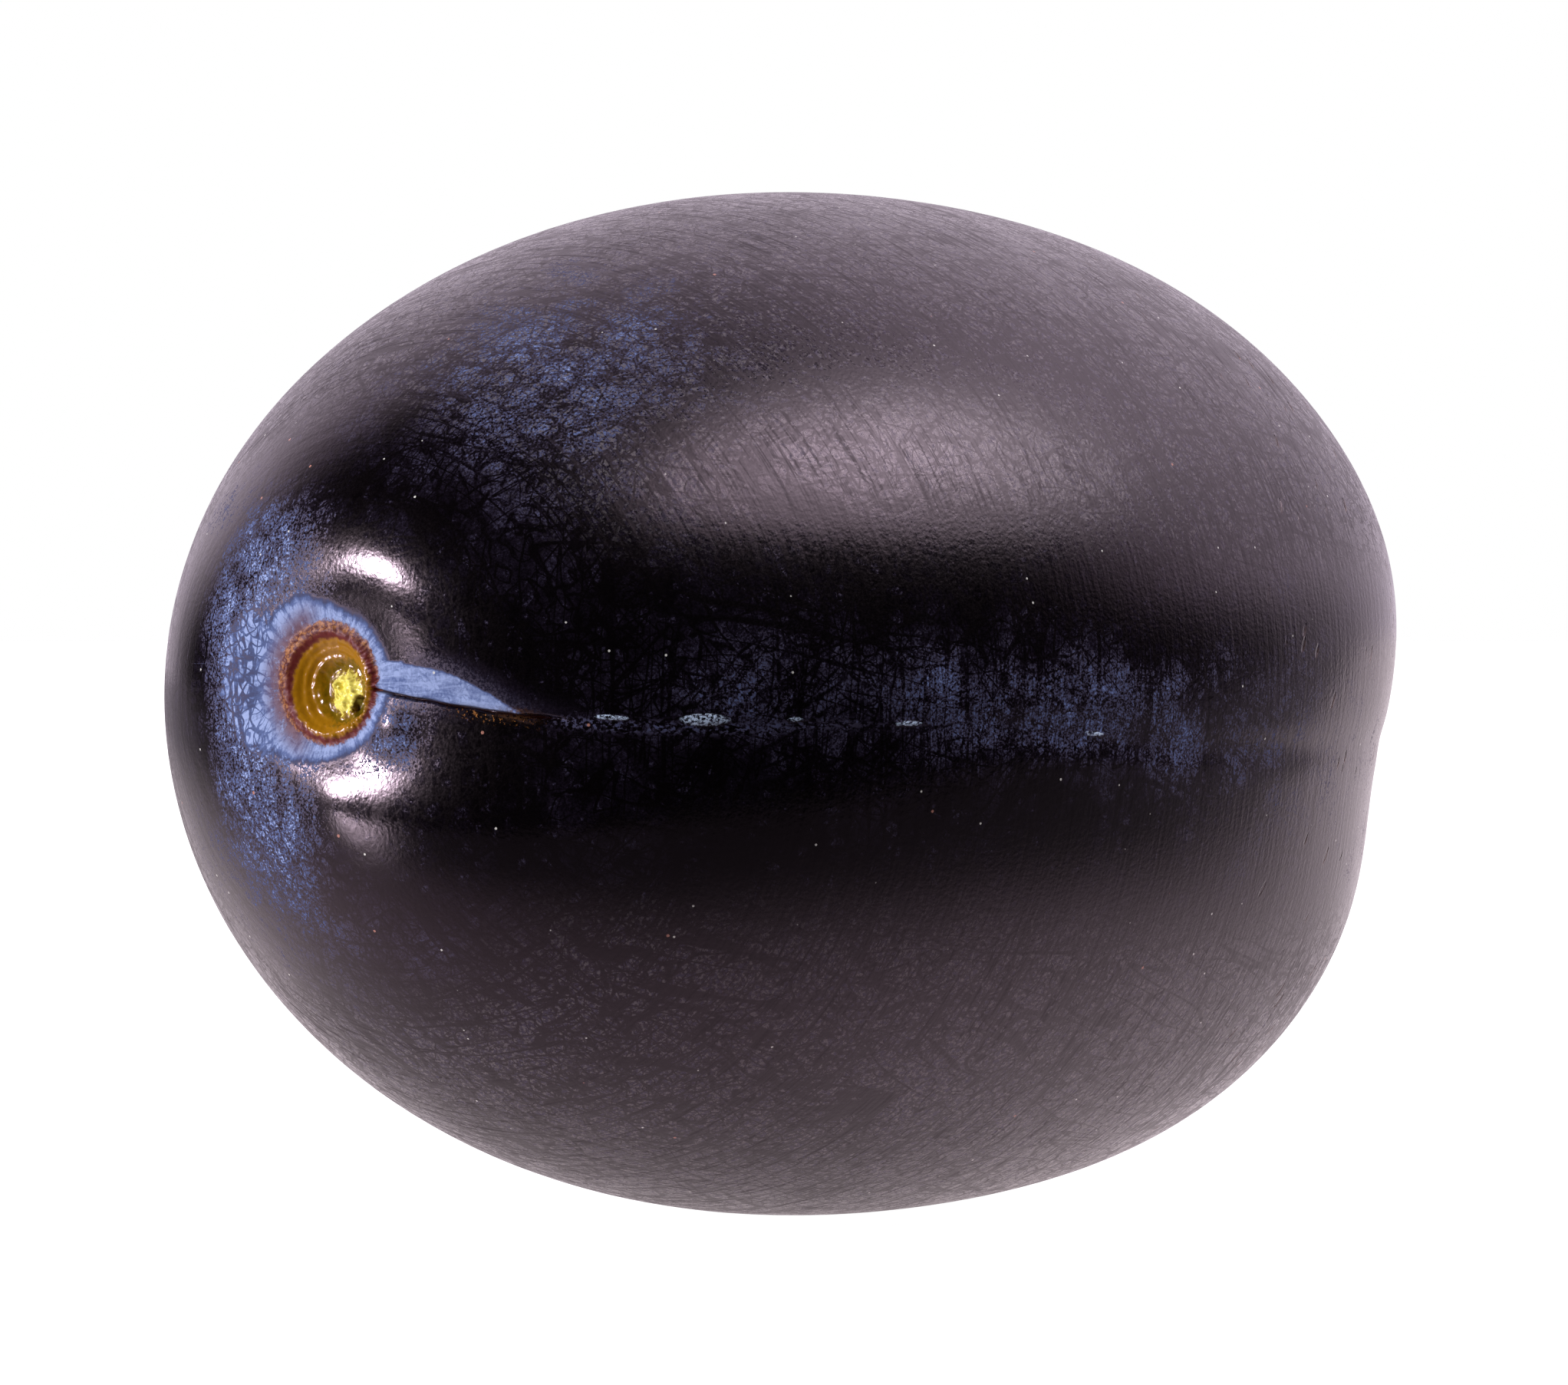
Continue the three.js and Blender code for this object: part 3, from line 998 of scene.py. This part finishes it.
def skin_roughness(paint, spot, bloom, in_scar, in_bowl):
    scratches = paint.rise(spot.dusty, 0.0, 1.0, *GLOSS["scratches"])
    scratches = paint.times(paint.less(1.0, spot.whole), scratches)
    hairs = paint.drawn_out(spot.place, ROUND_FRUIT, HAIRS["lengths"])
    hairs = paint.rise(paint.grain(hairs, roughness=HAIRS["roughness"]), *HAIRS["edge"])
    hairs = paint.times(hairs, spot.dusty, HAIRS["amount"])
    smooth = paint.rise(bloom, *GLOSS["bloom"], *GLOSS["roughness"])
    roughness = paint.plus(smooth, paint.times(spot.fine, GLOSS["fine"]), scratches, hairs)
    roughness = paint.blend(in_scar, roughness, SCAR_ROUGHNESS)
    return paint.blend(in_bowl, roughness, BOWL_ROUGHNESS)


def skin_height(paint, spot, pores):
    leather = paint.grain(spot.place, LEATHER["size"], detail=1.0)
    leather = paint.times(leather, paint.rise(spot.forward, *LEATHER["forward"], *LEATHER["height"]))
    peel = paint.grain(paint.drawn_out(spot.place, ROUND_FRUIT, PEEL["lengths"]))
    peel = paint.times(peel, PEEL["height"])
    return paint.plus(leather, peel, paint.times(pores, -SLIT_DEPTH))


def plum_skin():
    material = bpy.data.materials.new("plum_skin")
    paint = Paint(material)
    shader = paint.nodes["Principled BSDF"]
    spot = Spot(paint)
    bloom = bloom_thickness(paint, spot)
    pores = slits(paint, spot)
    scar_colour, in_scar, in_bowl = scar_colours(paint, spot)

    colour = with_specks(paint, spot, paint.ladder(bloom, BLOOM_LADDER))
    colour = paint.tint(pores, colour, PORE_DARK)
    colour = paint.tint(in_scar, with_cork(paint, spot, colour), scar_colour)
    paint.put(shader.inputs["Base Color"], colour)

    paint.put(shader.inputs["Roughness"], skin_roughness(paint, spot, bloom, in_scar, in_bowl))
    shader.inputs["Specular Tint"].default_value = SHINE_TINT

    bump = paint.add("Bump", Strength=1.0, Distance=MM, Height=skin_height(paint, spot, pores))
    paint.put(shader.inputs["Normal"], bump.outputs[0])
    return material


# The table glows from within, brightest behind the fruit. It fades towards both sides and its near edge, and
# it is dimmer round the fruit's foot: a painted shadow of the fruit.
# Across counts to the right and away counts away from the camera, both in mm.
GLOW = 0.97
GLOW_TINT = (1.0, 0.86, 0.90)
GLOW_LEFT = (-150, 0)
GLOW_NEAR = (-45, -17)
GLOW_RIGHT = {"turn": radians(43), "edge": (-53, -14)}
GLOW_MIDDLE = (-12, -10, 0)
GLOW_PAINTED_SHADOW = {"edge": (10, 28), "least": 0.72}
GLOW_FAR = {"edge": (34, 66), "least": 0.80}
SHINE_TO_SEE = 0.98
TABLE_COLOUR = (0.09, 0.09, 0.09)
TABLE_ROUGHNESS = 0.35
TABLE_SHINE = 0.4
WHITE = (1, 1, 1)


def table_white():
    material = bpy.data.materials.new("table_white")
    paint = Paint(material)
    place = paint.place()
    across, away, _ = paint.parts(place)
    turn = GLOW_RIGHT["turn"]
    inwards = paint.plus(paint.times(away, math.cos(turn)), paint.times(across, -math.sin(turn)))
    from_fruit = paint.vector("DISTANCE", place, GLOW_MIDDLE)
    glow = paint.times(
        paint.rise(across, *GLOW_LEFT),
        paint.rise(inwards, *GLOW_RIGHT["edge"]),
        paint.rise(away, *GLOW_NEAR),
        # Painted shadow: the glow is dimmer round the fruit's foot.
        paint.rise(from_fruit, *GLOW_PAINTED_SHADOW["edge"], GLOW_PAINTED_SHADOW["least"], 1.0),
        paint.rise(from_fruit, *GLOW_FAR["edge"], 1.0, GLOW_FAR["least"]),
        GLOW,
    )
    seen = paint.add("LightPath").outputs["Is Camera Ray"]
    shader = paint.nodes["Principled BSDF"]
    paint.put(shader.inputs["Base Color"], TABLE_COLOUR)
    shader.inputs["Roughness"].default_value = TABLE_ROUGHNESS
    shader.inputs["Specular IOR Level"].default_value = TABLE_SHINE
    paint.put(shader.inputs["Emission Color"], paint.tint(seen, GLOW_TINT, WHITE))
    paint.put(shader.inputs["Emission Strength"], paint.blend(seen, glow, SHINE_TO_SEE))
    return material


# ---------------- table, light and camera

# The camera looks almost level at the suture, from the stem end's side.
CAMERA_AZIMUTH = radians(-52)
CAMERA_ELEVATION = radians(2)
CAMERA_DISTANCE = 200
FOCAL_LENGTH = 116.2
SENSOR = 36
AIM_RIGHT = -0.485
AIM_UP = 0.43
NEAREST_SEEN = 10

TO_CAMERA_FLAT = Vector((math.sin(CAMERA_AZIMUTH), -math.cos(CAMERA_AZIMUTH), 0))
RIGHT = Vector((math.cos(CAMERA_AZIMUTH), math.sin(CAMERA_AZIMUTH), 0))
TO_CAMERA = TO_CAMERA_FLAT * math.cos(CAMERA_ELEVATION) + Vector((0, 0, math.sin(CAMERA_ELEVATION)))
UP = TO_CAMERA.cross(RIGHT)


def standing_at(place, right, up, back):
    """The matrix of something at a place in mm, turned so that it faces away from back."""
    return Matrix.Translation(place * MM) @ Matrix((right, up, back)).transposed().to_4x4()


def add_camera():
    aim = MIDDLE + RIGHT * AIM_RIGHT + UP * AIM_UP
    data = bpy.data.cameras.new("camera")
    data.lens = FOCAL_LENGTH
    data.sensor_width = SENSOR
    data.clip_start = NEAREST_SEEN * MM
    camera = bpy.data.objects.new("camera", data)
    bpy.context.scene.collection.objects.link(camera)
    camera.matrix_world = standing_at(aim + TO_CAMERA * CAMERA_DISTANCE, RIGHT, UP, TO_CAMERA)
    bpy.context.scene.camera = camera


# The table ends a little in front of the fruit, so that the near skin mirrors the dark room.
TABLE_NEAR = 62
TABLE_FAR = 900
TABLE_HALF_WIDTH = 900


def add_table():
    mesh = bmesh.new()
    bmesh.ops.create_grid(mesh, x_segments=1, y_segments=1, size=1)
    length = TABLE_NEAR + TABLE_FAR
    bmesh.ops.scale(mesh, vec=(TABLE_HALF_WIDTH * MM, length / 2 * MM, 1), verts=mesh.verts)
    bmesh.ops.translate(mesh, vec=(0, (TABLE_FAR - length / 2) * MM, 0), verts=mesh.verts)
    data = bpy.data.meshes.new("table")
    mesh.to_mesh(data)
    mesh.free()
    table = bpy.data.objects.new("table", data)
    table.rotation_euler.z = CAMERA_AZIMUTH
    bpy.context.scene.collection.objects.link(table)
    data.materials.append(table_white())


# Soft lamps: place from the fruit's middle, the way the long side runs, size and radiance. A radiance of
# 1 shows as plain white. The three softboxes lie over each other, so that their light has a bright core.
SOFTBOX_RUNS = (0.94, 0.02, -0.37)
LAMPS = (
    ("softbox", "ELLIPSE", (64, -205, 276), SOFTBOX_RUNS, (450, 244), 1.95),
    ("softbox_middle", "ELLIPSE", (56, -207, 274), SOFTBOX_RUNS, (340, 160), 2.75),
    ("softbox_core", "ELLIPSE", (62, -205, 272), SOFTBOX_RUNS, (180, 90), 3.1),
    ("side_lamp", "RECTANGLE", (-339, 188, 63), (0, 0, 1), (44, 44), 250),
)
ELLIPSE_SHARE = math.pi / 4


def add_lamp(name, shape, place, runs, size, radiance):
    """A soft panel lamp that faces the fruit's middle, unseen by the camera."""
    data = bpy.data.lights.new(name, "AREA")
    data.shape = shape
    data.size = size[0] * MM
    data.size_y = size[1] * MM
    area = data.size * data.size_y * (ELLIPSE_SHARE if shape == "ELLIPSE" else 1)
    data.energy = radiance * math.pi * area
    lamp = bpy.data.objects.new(name, data)
    bpy.context.scene.collection.objects.link(lamp)
    back = Vector(place).normalized()
    along = Vector(runs)
    along = (along - back * along.dot(back)).normalized()
    lamp.matrix_world = standing_at(MIDDLE + Vector(place), along, back.cross(along), back)
    lamp.visible_camera = False


# The room is white to look at. It lights the fruit from behind and leaves its near side dark.
ROOM_BRIGHT_SIDE = TO_CAMERA_FLAT * math.cos(radians(168)) + RIGHT * math.sin(radians(168))
ROOM_LIGHT = 1.08
ROOM_TINT = (1.0, 0.86, 1.0)
ROOM_RISE = 0.6
HORIZON = {"darker": 0.45, "up_to": 0.35}
WINDOW = {"towards": Vector((0.71, 0.01, 0.70)), "edge": 0.86, "light": 0.3}


def light_room():
    world = bpy.data.worlds.new("room")
    bpy.context.scene.world = world
    paint = Paint(world)
    towards = paint.add("TexCoord").outputs["Generated"]
    facing = paint.vector("DOT_PRODUCT", towards, ROOM_BRIGHT_SIDE)
    near_horizon = paint.fall(paint.parts(towards)[2], 0.0, HORIZON["up_to"], HORIZON["darker"])
    lit = paint.rise(paint.less(facing, near_horizon), 0.0, ROOM_RISE, 0.0, ROOM_LIGHT)
    in_window = paint.vector("DOT_PRODUCT", towards, WINDOW["towards"])
    in_window = paint.rise(in_window, WINDOW["edge"], 1.0, 0.0, WINDOW["light"])
    seen = paint.add("LightPath").outputs["Is Camera Ray"]
    background = paint.nodes["Background"]
    paint.put(background.inputs["Strength"], paint.blend(seen, paint.plus(lit, in_window), 1.0))
    paint.put(background.inputs["Color"], paint.tint(seen, ROOM_TINT, WHITE))


fruit = build_fruit()
fruit.data.materials.append(plum_skin())
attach(fruit, "root")
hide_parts("plum")

add_table()
add_camera()
light_room()
for lamp in LAMPS:
    add_lamp(*lamp)
bpy.context.scene.view_settings.view_transform = "Standard"
